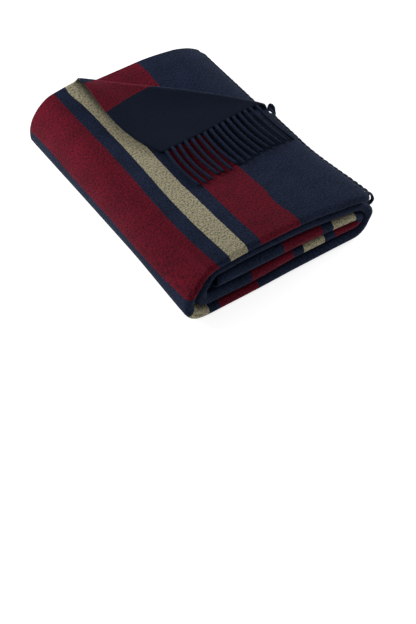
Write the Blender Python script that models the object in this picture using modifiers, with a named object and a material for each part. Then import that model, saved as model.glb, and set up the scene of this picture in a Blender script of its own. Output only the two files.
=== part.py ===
"""Folded wool throw with a fringe at each end, in metres, +Z up.

The cloth is folded in three across its width, and the long strip that this makes is
rolled up flat in five panels.  Its outer end lies on top with one corner turned over, and
its inner end is tucked in the middle of the roll.  X runs along the cloth, across its
stripes, and Y runs across it.  The front folds face -Y and the spine of the roll faces -X.
"""
import math

import bmesh
import bpy
import numpy as np
from mathutils import Vector

# Cloth
CLOTH = 0.003             # thickness of the felted wool
LAYER = 0.00627           # from the middle of one layer to the middle of the next
PANEL = 3 * LAYER         # three layers make one panel of the roll
PANELS = 5
FRONT = -0.216            # front folds
BACK = 0.219              # back folds
SELVEDGE = 0.225          # back selvedge of the top layer, which stands a little proud
TUCK = 0.012              # the tucked selvedge stops this far from the inside of the front fold

# Roll
SPINE_X = -0.124          # centre of the turns at the spine
TURN_X = 0.125            # centre of the outer turn at the fringed side
FOLD_X = 0.1265           # centre of the innermost fold
INNER_END_X = -0.118      # where the inner end stops
HEM_ARC = 0.027           # how far the outer end bends down over the side
HEM_RUN_ON = 0.006        # the same bend, run on a little for the fringe
SQUARE_LOW = 2.6          # the spine is squarer at the floor than a circle, which is 2
TURN_STEPS = 6
PANEL_X = (-0.085, -0.04, 0.01, 0.06, 0.095)
LAYER_Y = (-0.165, -0.09, -0.01, 0.035, 0.1, 0.16)

# Corner that is turned over
SELVEDGE_LEG = 0.2300     # from the corner along the selvedge to the crease
FRINGE_LEG = 0.2070       # from the corner along the fringe to the crease
CREASE_RADIUS = 0.0035    # of the middle of the cloth, rolled over the crease
CREASE_STEPS = 6          # facets of that roll
FLAP_LIFT = 0.0046        # the flap's middle above the middle of the layer that it lies on
FLAP_SETTLES = 0.03       # distance from the crease in which it comes down to that
FLAP_DRIFT = (-0.0074, 0.0100)   # its corner lies this far in X and Y from the mirror image
FLAP_DRIFT_POWER = 1.5    # the drift grows with this power of the distance from the crease
FLAP_BOW = 0.0145         # the flap's free selvedge bows out this far
FLAP_BOW_REACH = 0.07     # and the bow dies away in about this distance from that selvedge
OPENING = 0.005           # near the crease the free selvedge rises this much more
OPENING_AT = 0.03         # and most of all this far from the crease
OPENING_REACH = 0.04      # it dies away in about this distance from that selvedge

# Fringe
FRINGE_GAP = 0.0009       # between the cloth's end and the strip that holds the strands
CREASE_GAP = 0.0018       # the same gap where the cloth is rolled over the crease
FRINGE_STRIP = 0.003      # width of that strip
STRAND_PITCH = 0.0125
STRAND_WIDTH = 0.0055
STRAND_LENGTH = 0.086
STRAND = 0.003            # thickness of a hanging or lying strand
PRESSED_STRAND = 0.0016   # thickness of a strand pressed between two layers
STRAND_ABOVE_LAYER = 0.0056   # a lying strand's middle above the middle of its layer
LYING_SHARES = (0.33, 0.66, 1.0)   # a lying strand has a point at each of these shares
LYING_DRIFT = 0.0015      # how far the end of a lying strand wanders to a side
HANG_X = 0.168            # the middle one of the three layers of hanging strands
HANG_APART = 0.0037
HANG_CLEAR = 0.004        # the ends of the hanging strands above the floor
HANG_DRIFT = 0.001        # how far a hanging strand wanders to a side
HANG_UNEVEN = 0.004       # how much shorter the shortest hanging strand is
HAIRPIN_REACH = 0.0045    # a pressed strand turns back on itself over this distance
PRESSED_DRIFT = 0.0004    # how far a pressed strand wanders to a side
SHOULDER_ANGLE = 28.0     # a hanging strand bends down over the side of the roll here
SHOULDER_RADIUS = 2.4 * PANEL   # and this far from the centre of the roll's turns
SHOULDER_SPREAD = 0.8     # the strands of two layers are this share of the layers apart there

# Height of the top of each panel along the front, from the lowest panel to the top one
FRONT_LEVELS = (
    # x, panel 5, panel 4, panel 3, panel 2, panel 1
    (-0.175, 0.0165, 0.0435, 0.0665, 0.0817, 0.0950),
    (-0.120, 0.0170, 0.0435, 0.0670, 0.0826, 0.0968),
    (-0.050, 0.0160, 0.0415, 0.0690, 0.0865, 0.1030),
    (0.030, 0.0210, 0.0420, 0.0660, 0.0850, 0.1015),
    (0.100, 0.0205, 0.0385, 0.0570, 0.0755, 0.0925),
    (0.140, 0.0180, 0.0350, 0.0510, 0.0680, 0.0845),
    (0.180, 0.0180, 0.0345, 0.0500, 0.0660, 0.0820),
)
# Height of the whole stack halfway back and at the back
STACK_HEIGHTS = (
    # x, halfway, back
    (-0.175, 0.0930, 0.0855),
    (-0.145, 0.0940, 0.0900),
    (-0.120, 0.0955, 0.0965),
    (-0.050, 0.0925, 0.1030),
    (0.030, 0.0910, 0.1035),
    (0.100, 0.0880, 0.0955),
    (0.140, 0.0800, 0.0815),
    (0.180, 0.0740, 0.0680),
)
SPREADS = (0.0055, -0.0045, -0.0035)   # widening of the fringed side: front, halfway, back
SPREAD_X = (0.0, 0.150)   # the stack widens to that between these
# How far each panel's front fold stands behind the line of the front
SET_BACKS = (
    # height in the even stack, set back
    (0.000, 0.000),
    (0.5 * PANEL, -0.002),
    (1.5 * PANEL, 0.001),
    (2.5 * PANEL, 0.000),
    (3.5 * PANEL, 0.003),
    (4.5 * PANEL, 0.000),
)
END_ZONE = (0.050, 0.216)  # the front's and the back's own heights fade in between these
# The spine slumps: its upper part leans back over the stack, most of all at the front
SLUMP = (
    # height in the even stack, lean at the front, lean elsewhere
    (0.0 * PANEL, 0.000, 0.0040),
    (1.3 * PANEL, 0.000, 0.0040),
    (1.8 * PANEL, 0.004, 0.0048),
    (2.2 * PANEL, 0.007, 0.0055),
    (2.6 * PANEL, 0.012, 0.0060),
    (3.1 * PANEL, 0.021, 0.0070),
    (4.0 * PANEL, 0.026, 0.0065),
    (5.0 * PANEL, 0.012, 0.0020),
)
SLUMP_X = (-0.070, -0.160)  # the lean grows between these


def clear_scene():
    for item in list(bpy.data.objects):
        bpy.data.objects.remove(item, do_unlink=True)


def smooth(value):
    """0 below 0, 1 above 1, and an even S between."""
    value = min(max(value, 0.0), 1.0)
    return value * value * (3.0 - 2.0 * value)


def stations(rows):
    """Turn rows of arcs and straight runs into a table of stations along a path.

    Each row is a run from one place to the next: centre, its height, radius, angle in
    degrees, and steps.  A station is at its centre plus radius times (cos, sin).  The
    result has one row for each station, and the distance along the path comes first.
    """
    first = rows[0]
    table = [(0.0, first[0], first[1], first[2], math.radians(first[3]))]
    for centre, height, radius, angle, steps in rows[1:]:
        last = table[-1]
        target = (centre, height, radius, math.radians(angle))
        run = abs(centre - last[1]) + radius * abs(target[3] - last[4])
        for step in range(1, steps + 1):
            share = step / steps
            mixed = [old + (new - old) * share for old, new in zip(last[1:], target)]
            table.append((last[0] + run * share, *mixed))
    return table


def panel_rows(xs, height, radius, angle):
    """Straight runs of one panel through the given places."""
    return [(x, height, radius, angle, 1) for x in xs]


def roll_stations():
    """The roll seen from the front, from its outer end on top to its inner end."""
    spine_z = 2.5 * PANEL
    turn_z = 2.0 * PANEL
    hem_radius = 2.5 * PANEL
    hem_angle = math.degrees(HEM_ARC / hem_radius)
    run_on = math.degrees(HEM_RUN_ON / hem_radius)
    leftward = PANEL_X[::-1]
    rows = [(TURN_X, turn_z, hem_radius, 90.0 - hem_angle - run_on)]
    rows += [(TURN_X, turn_z, hem_radius, 90.0 - hem_angle, 1)]
    rows += [(TURN_X, turn_z, hem_radius, 90.0, 3)]
    path = stations(rows)

    def run(start, more):
        """Stations of the next rows, carried on from the end of the path so far."""
        part = stations([start] + more)
        reach = path[-1][0]
        path.extend([(reach + row[0], *row[1:]) for row in part[1:]])

    run((TURN_X, spine_z, 2.0 * PANEL, 90.0),
        panel_rows(leftward + (SPINE_X,), spine_z, 2.0 * PANEL, 90.0)
        + [(SPINE_X, spine_z, 2.0 * PANEL, 270.0, TURN_STEPS + 1)])
    run((SPINE_X, turn_z, 1.5 * PANEL, -90.0),
        panel_rows(PANEL_X + (TURN_X,), turn_z, 1.5 * PANEL, -90.0)
        + [(TURN_X, turn_z, 1.5 * PANEL, 90.0, TURN_STEPS)])
    run((TURN_X, spine_z, 1.0 * PANEL, 90.0),
        panel_rows(leftward + (SPINE_X,), spine_z, 1.0 * PANEL, 90.0)
        + [(SPINE_X, spine_z, 1.0 * PANEL, 270.0, TURN_STEPS)])
    run((SPINE_X, turn_z, 0.5 * PANEL, -90.0),
        panel_rows(PANEL_X + (FOLD_X,), turn_z, 0.5 * PANEL, -90.0)
        + [(FOLD_X, turn_z, 0.5 * PANEL, 90.0, TURN_STEPS)]
        + panel_rows(leftward + (INNER_END_X,), turn_z, 0.5 * PANEL, 90.0))
    table = np.array(path)
    table[:, 0] -= table[1, 0]
    return table


def width_stations():
    """One panel seen from the end: top layer, front fold, bottom layer, back fold, tuck."""
    top_fold = FRONT + LAYER + CLOTH / 2
    back_fold = BACK - LAYER / 2 - CLOTH / 2
    forward = LAYER_Y[::-1]
    rows = [(SELVEDGE, 0.0, LAYER, 90.0)]
    rows += panel_rows(forward + (top_fold,), 0.0, LAYER, 90.0)
    rows += [(top_fold, 0.0, LAYER, 270.0, 4)]
    path = stations(rows)
    low = stations(
        [(top_fold, -LAYER / 2, LAYER / 2, -90.0)]
        + panel_rows(LAYER_Y + (back_fold,), -LAYER / 2, LAYER / 2, -90.0)
        + [(back_fold, -LAYER / 2, LAYER / 2, 90.0, 3)]
        + panel_rows(forward + (top_fold + TUCK,), -LAYER / 2, LAYER / 2, 90.0))
    reach = path[-1][0]
    path.extend([(reach + row[0], *row[1:]) for row in low[1:]])
    return np.array(path)


ROLL = roll_stations()
WIDTH = width_stations()
LENGTH = ROLL[-1, 0]
BREADTH = WIDTH[-1, 0]
EDGE_X = TURN_X + HEM_ARC          # the outer end's edge, were the hem laid out flat
CREASE_LENGTH = math.hypot(SELVEDGE_LEG, FRINGE_LEG)
CREASE_SIDE = (FRINGE_LEG / CREASE_LENGTH, SELVEDGE_LEG / CREASE_LENGTH)   # towards the corner
CORNER_REACH = SELVEDGE_LEG * FRINGE_LEG / CREASE_LENGTH     # from the crease to the corner
TOP_LAYER_END = WIDTH[len(LAYER_Y) + 1, 0]    # the front fold starts here


def at(table, distance):
    """Centre, its height, radius and angle at a distance along a table of stations."""
    return [float(np.interp(distance, table[:, 0], table[:, column])) for column in (1, 2, 3, 4)]


def root_of(across):
    """Place across the cloth, and off the middle of its panel."""
    y, height, radius, angle = at(WIDTH, across)
    return y + radius * math.cos(angle), height + radius * math.sin(angle)


def squared(angle):
    """How far the spine's lower half is pushed out towards a square."""
    if math.cos(angle) >= -1e-6 or math.sin(angle) >= 0.0:
        return 1.0
    power = abs(math.cos(angle)) ** SQUARE_LOW + abs(math.sin(angle)) ** SQUARE_LOW
    return power ** (-1.0 / SQUARE_LOW)


def even_stack(along, y, offset):
    """Place of a point in the roll before it settles: along the cloth, y, and off its middle."""
    x, z, radius, angle = at(ROLL, along)
    reach = (radius + offset) * squared(angle)
    return x + reach * math.cos(angle), y, z + reach * math.sin(angle)


def settle(point):
    """The uneven heights of the real stack: each height is a rising function of the even one."""
    x, y, z = point
    near, far = END_ZONE
    front = smooth((-y - near) / (far - near))
    back = smooth((y - near) / (far - near))
    floor = LAYER / 2
    even_top = PANELS * PANEL
    spare = 1.0
    levels = np.array(FRONT_LEVELS)
    marks = [floor] + [PANEL * (count + 1) for count in range(PANELS)] + [even_top + spare]
    heights = [CLOTH / 2] + [float(np.interp(x, levels[:, 0], levels[:, 1 + count]))
                             for count in range(PANELS)]
    heights.append(heights[-1] + spare)
    z_front = float(np.interp(z, marks, heights))
    stack = np.array(STACK_HEIGHTS)
    ends = []
    for column in (1, 2):
        top = float(np.interp(x, stack[:, 0], stack[:, column]))
        marks_here = [floor, even_top, even_top + spare]
        ends.append(float(np.interp(z, marks_here, [CLOTH / 2, top, top + spare])))
    set_back = np.array(SET_BACKS)
    y += front * float(np.interp(z, set_back[:, 0], set_back[:, 1]))
    slump = np.array(SLUMP)
    leans = [float(np.interp(z, slump[:, 0], slump[:, column])) for column in (1, 2)]
    lean = front * leans[0] + (1.0 - front) * leans[1]
    lean *= smooth((SLUMP_X[0] - x) / (SLUMP_X[0] - SLUMP_X[1]))
    spread = front * SPREADS[0] + (1.0 - front - back) * SPREADS[1] + back * SPREADS[2]
    x += lean + spread * smooth((x - SPREAD_X[0]) / (SPREAD_X[1] - SPREAD_X[0]))
    return x, y, front * z_front + back * ends[1] + (1.0 - front - back) * ends[0]


def past_crease(along, across):
    """How far a point of the flat cloth lies past the crease, towards the corner."""
    return CORNER_REACH - along * CREASE_SIDE[0] - across * CREASE_SIDE[1]


def lift_over_crease(past, across):
    """Across and up, for a distance past the crease that is rolled over it."""
    turn = math.pi * CREASE_RADIUS
    if past < turn:
        angle = past / CREASE_RADIUS
        return CREASE_RADIUS * math.sin(angle), CREASE_RADIUS * (1.0 - math.cos(angle))
    down = math.exp(-(past - turn) / FLAP_SETTLES)
    share = (past - turn) / OPENING_AT
    opened = OPENING * share * math.exp(1.0 - share - (across / OPENING_REACH) ** 2)
    return turn - past, FLAP_LIFT + (2 * CREASE_RADIUS - FLAP_LIFT) * down + opened


def flap_drift(along, across, past):
    """How far a point of the flap lies in X and Y from its mirror image."""
    turn = math.pi * CREASE_RADIUS
    grown = (max(past - turn, 0.0) / (CORNER_REACH - turn)) ** FLAP_DRIFT_POWER
    up_edge = math.sqrt(min(max(along / SELVEDGE_LEG, 0.0), 1.0))
    bow = FLAP_BOW * math.sin(math.pi * up_edge) * math.exp(-(across / FLAP_BOW_REACH) ** 2)
    return FLAP_DRIFT[0] * grown - bow * min(past / turn, 1.0), FLAP_DRIFT[1] * grown


def folded(along, across):
    """Place of a point of the flat cloth, from its outer end and its top selvedge."""
    y, offset = root_of(across)
    past = past_crease(along, across)
    if past <= 0.0 or across > TOP_LAYER_END:
        return settle(even_stack(along, y, offset))
    out, lift = lift_over_crease(past, across)
    shift = out - past
    drift = flap_drift(along, across, past)
    return settle(even_stack(along - shift * CREASE_SIDE[0] - drift[0],
                             y + shift * CREASE_SIDE[1] + drift[1], offset + lift))


def new_object(name, bm, thickness, material, collection):
    """A closed piece: the surface in bm, given its thickness to both sides."""
    mesh = bpy.data.meshes.new(name)
    bm.to_mesh(mesh)
    bm.free()
    piece = bpy.data.objects.new(name, mesh)
    collection.objects.link(piece)
    mesh.materials.append(material)
    solid = piece.modifiers.new("thickness", "SOLIDIFY")
    solid.thickness = thickness
    solid.offset = 0.0
    mesh.shade_smooth()
    return piece


def cloth_surface():
    """The flat cloth as a grid, cut along the crease's lines, then folded point by point."""
    alongs = ROLL[1:, 0]
    columns = len(alongs)
    bm = bmesh.new()
    bmesh.ops.create_grid(bm, x_segments=columns - 1, y_segments=len(WIDTH) - 1, size=1.0)
    bm.verts.ensure_lookup_table()
    for index, vert in enumerate(bm.verts):
        vert.co = (alongs[index % columns], WIDTH[index // columns, 0], 0.0)
    turn = math.pi * CREASE_RADIUS
    lines = [turn * step / CREASE_STEPS for step in range(CREASE_STEPS + 1)]
    lines.append(turn + FLAP_SETTLES)
    for past in lines:
        reach = (CORNER_REACH - past) / CREASE_SIDE[0]
        corner = [face for face in bm.faces
                  if face.calc_center_median().y < TOP_LAYER_END
                  and face.calc_center_median().x < SELVEDGE_LEG + LAYER]
        edges = {edge for face in corner for edge in face.edges}
        verts = {vert for face in corner for vert in face.verts}
        bmesh.ops.bisect_plane(bm, geom=corner + list(edges) + list(verts), dist=1e-6,
                               plane_co=(reach, 0.0, 0.0), plane_no=(*CREASE_SIDE, 0.0))
    bmesh.ops.triangulate(bm, faces=[face for face in bm.faces if len(face.verts) > 4])
    edge = sorted(vert.co.y for vert in bm.verts if abs(vert.co.x) < 1e-6)
    for vert in bm.verts:
        vert.co = folded(vert.co.x, vert.co.y)
    return bm, edge


def between(places, value, function):
    """The function at a value, on the straight line between the places either side of it."""
    after = min(max(int(np.searchsorted(places, value)), 1), len(places) - 1)
    low, high = places[after - 1], places[after]
    share = (value - low) / (high - low)
    start, end = np.array(function(low)), np.array(function(high))
    return start + (end - start) * share


def strand_places(edge):
    """Cuts across a fringe strip, and which of the cells between them carry a strand.

    A run between two of the cloth's own corners has whole strands, evenly apart.  The
    short runs round the folds and the crease have none.
    """
    cuts = [edge[0]]
    strands = []
    for low, high in zip(edge[:-1], edge[1:]):
        count = round((high - low) / STRAND_PITCH)
        for step in range(count):
            middle = low + (step + 0.5) * (high - low) / count
            cuts += [middle - STRAND_WIDTH / 2, middle + STRAND_WIDTH / 2]
            strands.append(len(cuts) - 2)
        cuts.append(high)
    return cuts, strands


def sway(count, scale):
    """A sideways offset up to the scale, which looks irregular from strand to strand.

    It is a sine of the strand's number whose phase wavers with a second, slower sine.
    """
    step, wavering, slower = 2.4, 0.7, 1.1
    return scale * math.sin(count * step + wavering * math.sin(count * slower))


def hanging_route(across, count):
    """Points of a strand that hangs down the side, after its root."""
    y, offset = root_of(across)
    turn_z = 2.0 * PANEL
    side = settle((HANG_X + HANG_APART * offset / LAYER, y + sway(count, HANG_DRIFT), turn_z))
    shoulder = math.radians(SHOULDER_ANGLE)
    reach = SHOULDER_RADIUS + SHOULDER_SPREAD * offset
    knee = (TURN_X + reach * math.cos(shoulder), y, turn_z + reach * math.sin(shoulder))
    low_end = HANG_CLEAR + abs(sway(count, HANG_UNEVEN))
    return [settle(knee), side, (side[0], side[1], low_end)]


def lying_route(across, count):
    """Points of a strand of the turned-over corner, which lies on the layer under it."""
    past = past_crease(0.0, across)
    shift = lift_over_crease(past, across)[0] - past
    drift = flap_drift(0.0, across, past)
    start = SELVEDGE - across + shift * CREASE_SIDE[1] + drift[1] - FRINGE_GAP - FRINGE_STRIP
    wander = sway(count, LYING_DRIFT)
    points = []
    for share in LYING_SHARES:
        along = wander * share * share - shift * CREASE_SIDE[0] - drift[0]
        y = start - STRAND_LENGTH * share
        points.append(settle(even_stack(along, y, LAYER + STRAND_ABOVE_LAYER)))
    return points


def pressed_route(across, count):
    """Points of a strand of the inner end, turned back on itself between two layers."""
    y, offset = root_of(across)
    way = 1.0 if offset > LAYER / 2 else -1.0
    beyond = INNER_END_X - FRINGE_GAP - FRINGE_STRIP
    level = PANEL * 2.5 + offset
    turned = level + way * LAYER / 2
    points = [settle((beyond - HAIRPIN_REACH, y, (level + turned) / 2))]
    points += [settle((x, y + sway(count, PRESSED_DRIFT), turned)) for x in (beyond, *PANEL_X[:2])]
    return points


def outer_strand(edge, across, count):
    """The outer end's strands lie on the turned-over corner and hang elsewhere.

    Gives the strand's points and the direction of its width, or nothing on the crease.
    """
    past = past_crease(0.0, across)
    if past > math.pi * CREASE_RADIUS:
        return lying_route(across, count), Vector((1.0, 0.0, 0.0))
    if past > 0.0:
        return None
    return (between(edge, across, lambda place: hanging_route(place, count)),
            Vector((0.0, 1.0, 0.0)))


def inner_strand(edge, across, count):
    """Every strand of the inner end is pressed between two layers."""
    return (between(edge, across, lambda place: pressed_route(place, count)),
            Vector((0.0, 1.0, 0.0)))


def strip_gap(along, across):
    """Distance between the cloth's end and the strip at a place on that end."""
    past = past_crease(along, across)
    over_crease = 1e-6 < past < math.pi * CREASE_RADIUS - 1e-6
    return CREASE_GAP if over_crease else FRINGE_GAP


def fringe_surface(edge, start, way, strand_at):
    """A narrow strip along the cloth's end, with strands drawn out of its free side.

    start is the end's distance along the cloth, and way is the direction away from it.
    """
    cuts, strands = strand_places(edge)
    bm = bmesh.new()
    free = start + way * (FRINGE_GAP + FRINGE_STRIP)

    def near_side(place):
        return folded_on(start + way * strip_gap(start, place), place)

    def free_side(place):
        return folded_on(free, place)

    rows = []
    for side in (near_side, free_side):
        rows.append([bm.verts.new(between(edge, cut, side)) for cut in cuts])
    for index in range(len(cuts) - 1):
        quad = (rows[0][index], rows[0][index + 1], rows[1][index + 1], rows[1][index])
        bm.faces.new(quad)
    for count, index in enumerate(strands):
        strand = strand_at(edge, (cuts[index] + cuts[index + 1]) / 2, count)
        if strand is None:
            continue
        points, sideways = strand
        tip = bm.edges.get((rows[1][index], rows[1][index + 1]))
        root = rows[1][index + 1].co - rows[1][index].co
        half = sideways * math.copysign(root.length / 2, root.dot(sideways))
        for point in points:
            grown = bmesh.ops.extrude_edge_only(bm, edges=[tip])["geom"]
            tip = next(item for item in grown if isinstance(item, bmesh.types.BMEdge))
            ends = sorted(tip.verts, key=lambda vert: vert.co.dot(half))
            ends[0].co = Vector(point) - half
            ends[1].co = Vector(point) + half
    bmesh.ops.recalc_face_normals(bm, faces=bm.faces)
    return bm


def folded_on(along, across):
    """As folded, and past the inner end it runs straight on."""
    if along <= LENGTH:
        return folded(along, across)
    y, offset = root_of(across)
    return settle((INNER_END_X - (along - LENGTH), y, 2.5 * PANEL + offset))


def wool(name, colour):
    """A rough woollen finish of one colour."""
    material = bpy.data.materials.new(name)
    material.use_nodes = True
    shader = material.node_tree.nodes["Principled BSDF"]
    shader.inputs["Base Color"].default_value = (*colour, 1.0)
    shader.inputs["Roughness"].default_value = 0.95
    shader.inputs["Metallic"].default_value = 0.0
    return material


def stand_on_floor(pieces):
    """Move all pieces together so that the middle of their box is over the origin."""
    graph = bpy.context.evaluated_depsgraph_get()
    corners = []
    for piece in pieces:
        shape = piece.evaluated_get(graph)
        corners += [vert.co.copy() for vert in shape.data.vertices]
    low = [min(corner[axis] for corner in corners) for axis in range(3)]
    high = [max(corner[axis] for corner in corners) for axis in range(3)]
    for piece in pieces:
        piece.location = (-(low[0] + high[0]) / 2, -(low[1] + high[1]) / 2, 0.0)
    print("box", [round(end - start, 4) for start, end in zip(low, high)], "low", low)


def main():
    clear_scene()
    collection = bpy.data.collections.new("folded_throw")
    bpy.context.scene.collection.children.link(collection)
    navy = wool("navy wool", (0.055, 0.075, 0.125))
    surface, edge = cloth_surface()
    cloth = new_object("blanket_cloth", surface, CLOTH, navy, collection)
    outer = new_object("fringe_outer", fringe_surface(edge, 0.0, -1.0, outer_strand),
                       STRAND, wool("outer fringe", (0.05, 0.07, 0.12)), collection)
    inner_edge = list(WIDTH[:, 0])
    inner = new_object("fringe_inner",
                       fringe_surface(inner_edge, LENGTH, 1.0, inner_strand),
                       PRESSED_STRAND, wool("inner fringe", (0.045, 0.065, 0.11)), collection)
    stand_on_floor([cloth, outer, inner])
    print("cloth", round(LENGTH, 4), "by", round(BREADTH, 4))


main()
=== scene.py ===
# %% [markdown]
# A folded wool throw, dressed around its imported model.  The model is loaded first and is
# never moved.  Everything here is in metres, +Z is up, +X runs along the cloth and across
# its stripes, and +Y runs across the cloth from the front folds to the back.
# %% Frame
import math

import bpy
import numpy as np
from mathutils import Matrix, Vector


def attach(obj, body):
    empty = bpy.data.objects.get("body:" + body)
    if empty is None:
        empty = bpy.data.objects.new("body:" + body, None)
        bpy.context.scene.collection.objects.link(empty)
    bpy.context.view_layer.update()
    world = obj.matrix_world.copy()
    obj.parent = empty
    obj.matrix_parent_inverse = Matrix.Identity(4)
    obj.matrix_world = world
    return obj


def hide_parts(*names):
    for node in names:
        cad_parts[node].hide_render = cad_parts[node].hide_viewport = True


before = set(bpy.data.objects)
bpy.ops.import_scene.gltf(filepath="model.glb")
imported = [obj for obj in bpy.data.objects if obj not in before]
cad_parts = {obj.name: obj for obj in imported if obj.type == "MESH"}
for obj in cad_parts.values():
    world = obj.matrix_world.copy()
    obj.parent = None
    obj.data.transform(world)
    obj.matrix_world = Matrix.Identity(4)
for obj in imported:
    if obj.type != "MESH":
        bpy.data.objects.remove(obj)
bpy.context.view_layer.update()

# %% [markdown]
# The camera looks down on the front left corner of the stack, as a person beside a table
# would.  A long lens keeps the stripes nearly parallel.  The eye's place and the two angles
# are typed as sizes, because they come from a perspective fitted to the throw's own edges.
# %% Camera
EYE = (-0.9351, -1.3835, 1.6438)
LOOK_DOWN = 49.2          # degrees below the horizon
LOOK_RIGHT = 34.5         # degrees from +Y towards +X
IMAGE_HEIGHT = 624
FOCAL_PIXELS = 1514
SENSOR = 36.0


def make_camera():
    """A camera whose lens is the sensor's height times focal pixels over image pixels."""
    data = bpy.data.cameras.new("camera")
    data.sensor_fit = "VERTICAL"
    data.sensor_height = SENSOR
    data.lens = SENSOR * FOCAL_PIXELS / IMAGE_HEIGHT
    camera = bpy.data.objects.new("camera", data)
    bpy.context.scene.collection.objects.link(camera)
    camera.location = EYE
    camera.rotation_euler = (math.radians(90.0 - LOOK_DOWN), 0.0, math.radians(-LOOK_RIGHT))
    bpy.context.scene.camera = camera
    return camera


print("lens", round(make_camera().data.lens, 2), "mm")

# %% [markdown]
# Cloth that is folded and rolled looks hard to model, but its section is only straight runs
# and round turns.  A simulation could fold it, at the price of control over where each
# stripe ends up.  So the section is written as a table: each row is a station at a centre
# plus a radius times (cos, sin) of an angle, and between two rows all four change evenly.
# An even change of the centre gives a straight run, and an even change of the angle a turn.
# %% Sizes and the path's table
CLOTH = 0.003             # thickness of the felted wool
LAYER = 0.00627           # from the middle of one layer to the middle of the next
PANEL = 3 * LAYER         # three layers make one panel of the roll
PANELS = 5
FRONT = -0.216            # front folds
BACK = 0.219              # back folds
SELVEDGE = 0.225          # back selvedge of the top layer
TUCK = 0.012              # the tucked selvedge stops this far from the front fold
SPINE_X = -0.124          # centre of the turns at the spine
TURN_X = 0.125            # centre of the outer turn at the fringed side
FOLD_X = 0.1265           # centre of the innermost fold
INNER_END_X = -0.118
HEM_ARC = 0.027           # how far the outer end bends down over the side
EVEN_TOP = PANELS * PANEL


def path_table(rows):
    """Stations with their distance: the run between two is its shift plus radius times turn."""
    table = np.array(rows, float)
    table[:, 3] = np.radians(table[:, 3])
    runs = np.abs(np.diff(table[:, 0])) + table[1:, 2] * np.abs(np.diff(table[:, 3]))
    return np.column_stack([np.concatenate([[0.0], np.cumsum(runs)]), table])


def along_table(table, distance):
    """Centre, its height, radius and angle at any distances: each column read in between."""
    return [np.interp(distance, table[:, 0], table[:, column]) for column in (1, 2, 3, 4)]


HEM_ANGLE = 90.0 - math.degrees(HEM_ARC / (2.5 * PANEL))
ROLL = path_table([
    # centre x, its height, radius, angle
    (TURN_X, 2.0 * PANEL, 2.5 * PANEL, HEM_ANGLE),     # outer end, bent down over the side
    (TURN_X, 2.0 * PANEL, 2.5 * PANEL, 90.0),
    (SPINE_X, 2.5 * PANEL, 2.0 * PANEL, 90.0),         # along the top to the spine
    (SPINE_X, 2.5 * PANEL, 2.0 * PANEL, 270.0),
    (TURN_X, 2.0 * PANEL, 1.5 * PANEL, 270.0),         # along the floor
    (TURN_X, 2.0 * PANEL, 1.5 * PANEL, 450.0),
    (SPINE_X, 2.5 * PANEL, 1.0 * PANEL, 450.0),        # second panel from the top
    (SPINE_X, 2.5 * PANEL, 1.0 * PANEL, 630.0),
    (FOLD_X, 2.0 * PANEL, 0.5 * PANEL, 630.0),         # second panel from the floor
    (FOLD_X, 2.0 * PANEL, 0.5 * PANEL, 810.0),
    (INNER_END_X, 2.0 * PANEL, 0.5 * PANEL, 810.0),    # middle panel, to the inner end
])
LENGTH = ROLL[-1, 0]
TOP_FOLD = FRONT + LAYER + CLOTH / 2
BACK_FOLD = BACK - LAYER / 2 - CLOTH / 2
WIDTH = path_table([
    # centre y, its height off the panel's middle, radius, angle
    (SELVEDGE, 0.0, LAYER, 90.0),                      # top layer
    (TOP_FOLD, 0.0, LAYER, 90.0),
    (TOP_FOLD, 0.0, LAYER, 270.0),                     # round the front fold
    (BACK_FOLD, -LAYER / 2, LAYER / 2, 270.0),         # bottom layer
    (BACK_FOLD, -LAYER / 2, LAYER / 2, 450.0),         # round the back fold
    (TOP_FOLD + TUCK, -LAYER / 2, LAYER / 2, 450.0),   # tucked layer between the two
])
BREADTH = WIDTH[-1, 0]
print("cloth", round(LENGTH, 4), "by", round(BREADTH, 4))

# %% [markdown]
# A soft stack is never even: the front sags where the folds spread, the middle is high and
# the far corner is low.  Each height is a smooth rising function of the even one, so the
# layers get closer or further apart but never pass through each other.
# %% How the stack settles
FRONT_LEVELS = np.array([
    # x, top of panel 5 (the lowest), 4, 3, 2, 1
    (-0.175, 0.0165, 0.0435, 0.0665, 0.0817, 0.0950),
    (-0.120, 0.0170, 0.0435, 0.0670, 0.0826, 0.0968),
    (-0.050, 0.0160, 0.0415, 0.0690, 0.0865, 0.1030),
    (0.030, 0.0210, 0.0420, 0.0660, 0.0850, 0.1015),
    (0.100, 0.0205, 0.0385, 0.0570, 0.0755, 0.0925),
    (0.140, 0.0180, 0.0350, 0.0510, 0.0680, 0.0845),
    (0.180, 0.0180, 0.0345, 0.0500, 0.0660, 0.0820),
])
STACK_HEIGHTS = np.array([
    # x, height halfway back, height at the back
    (-0.175, 0.0930, 0.0855),
    (-0.145, 0.0940, 0.0900),
    (-0.120, 0.0955, 0.0965),
    (-0.050, 0.0925, 0.1030),
    (0.030, 0.0910, 0.1035),
    (0.100, 0.0880, 0.0955),
    (0.140, 0.0800, 0.0815),
    (0.180, 0.0740, 0.0680),
])
SET_BACKS = np.array([
    # height in the even stack, in panels, and how far the front fold stands back there
    (0.0, 0.000),
    (0.5, -0.002),
    (1.5, 0.001),
    (2.5, 0.000),
    (3.5, 0.003),
    (4.5, 0.000),
])
SLUMP = np.array([
    # height in the even stack, in panels, the spine's lean at the front, and elsewhere
    (0.0, 0.000, 0.0040),
    (1.3, 0.000, 0.0040),
    (1.8, 0.004, 0.0048),
    (2.2, 0.007, 0.0055),
    (2.6, 0.012, 0.0060),
    (3.1, 0.021, 0.0070),
    (4.0, 0.026, 0.0065),
    (5.0, 0.012, 0.0020),
])
SLUMP_X = (-0.070, -0.160)   # the lean grows between these
SPREADS = (0.0055, -0.0045, -0.0035)   # widening of the fringed side: front, halfway, back
SPREAD_X = (0.0, 0.150)      # the widening grows between these
FRONT_BULGE = (0.0050, 0.080, 0.150)   # the outer turn's bulge at the front, from x to x
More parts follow.
